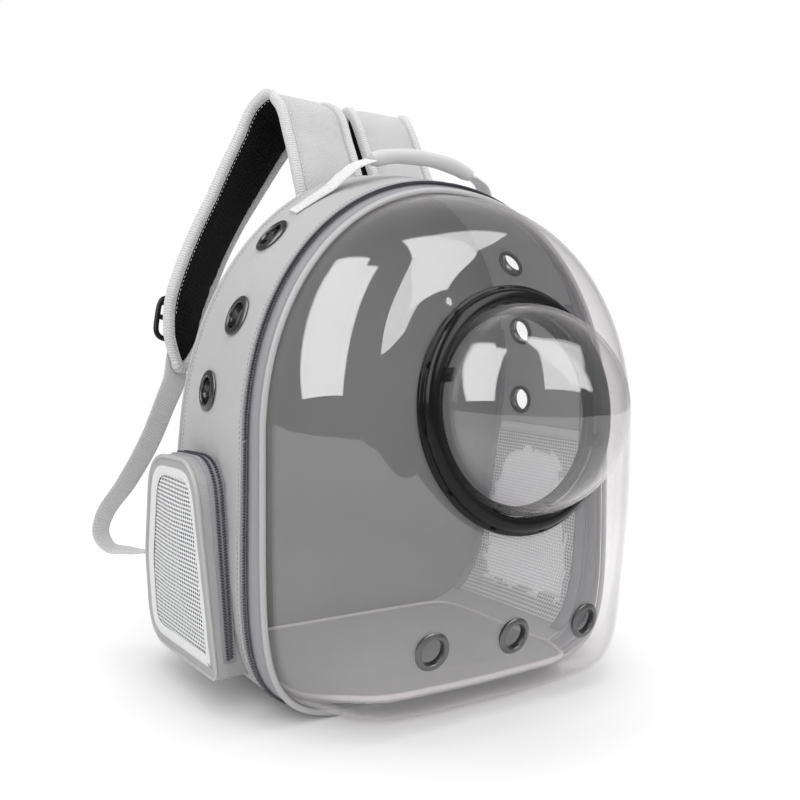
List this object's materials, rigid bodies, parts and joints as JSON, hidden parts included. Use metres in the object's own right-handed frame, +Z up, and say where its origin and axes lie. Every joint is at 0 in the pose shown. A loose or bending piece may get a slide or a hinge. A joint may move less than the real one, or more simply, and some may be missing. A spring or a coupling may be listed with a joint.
{
  "type": "bubble pet carrier backpack",
  "caption": "Arched pet carrier backpack with a clear moulded front, a round bubble window in a black ring, vent grommets, side net pockets, a top handle and padded straps.",
  "frame": {"origin": "middle of the flat underside of the bag's cloth floor", "axes": "+Z up; the clear front faces -Y; the wearer's side with the shoulder straps faces +Y; +X is to the right seen from the front"},
  "size_m": [0.4864, 0.4324, 0.5252],
  "materials": {
    "grey_cloth": "coated plain-weave cloth",
    "panel_cloth": "smooth padded cloth",
    "piping_cloth": "smooth cord cover",
    "zip_tape": "herringbone tape",
    "zip_coil": "nylon coil",
    "clear_plastic": "clear moulded sheet",
    "black_plastic": "glossy moulded",
    "gun_metal": "dark polished metal",
    "brushed_metal": "brushed metal",
    "white_net": "open net",
    "mat_cloth": "felted cloth",
    "webbing": "ribbed webbing",
    "strap_cloth": "twill over foam"
  },
  "bodies": {
    "bag": {"back_panel": "panel_cloth", "gusset": "grey_cloth", "side_grommet_left_top": "gun_metal", "side_grommet_left_middle": "gun_metal", "side_grommet_left_low": "gun_metal", "side_grommet_right_top": "gun_metal", "side_grommet_right_middle": "gun_metal", "side_grommet_right_low": "gun_metal", "back_piping": "piping_cloth", "front_piping": "piping_cloth", "zipper_band": "zip_tape", "zipper_coil": "zip_coil", "front_shell": "clear_plastic", "shell_grommet_left": "brushed_metal", "shell_grommet_middle": "brushed_metal", "shell_grommet_right": "brushed_metal", "window_ring": "black_plastic", "left_pocket": "grey_cloth", "left_pocket_mesh": "white_net", "left_pocket_coil": "zip_coil", "right_pocket": "grey_cloth", "right_pocket_mesh": "white_net", "right_pocket_coil": "zip_coil", "inner_mesh_left": "white_net", "inner_mesh_right": "white_net", "floor_mat": "mat_cloth", "handle_grip": "webbing", "handle_web_left": "webbing", "handle_web_right": "webbing", "strap_pad_left": "strap_cloth", "strap_web_left": "webbing", "buckle_left": "black_plastic", "strap_pad_right": "strap_cloth", "strap_web_right": "webbing", "buckle_right": "black_plastic", "zipper_slider": "gun_metal"},
    "bubble": {"dome": "clear_plastic", "dome_collar": "black_plastic"}
  },
  "joints": [
    {"name": "dome_twist", "type": "hinge", "parent": "bag", "child": "bubble", "pos_m": [0, -0.1846, 0.2425], "axis": [0, -0.9902, 0.1395], "range_deg": [0, 25.2]}
  ]
}
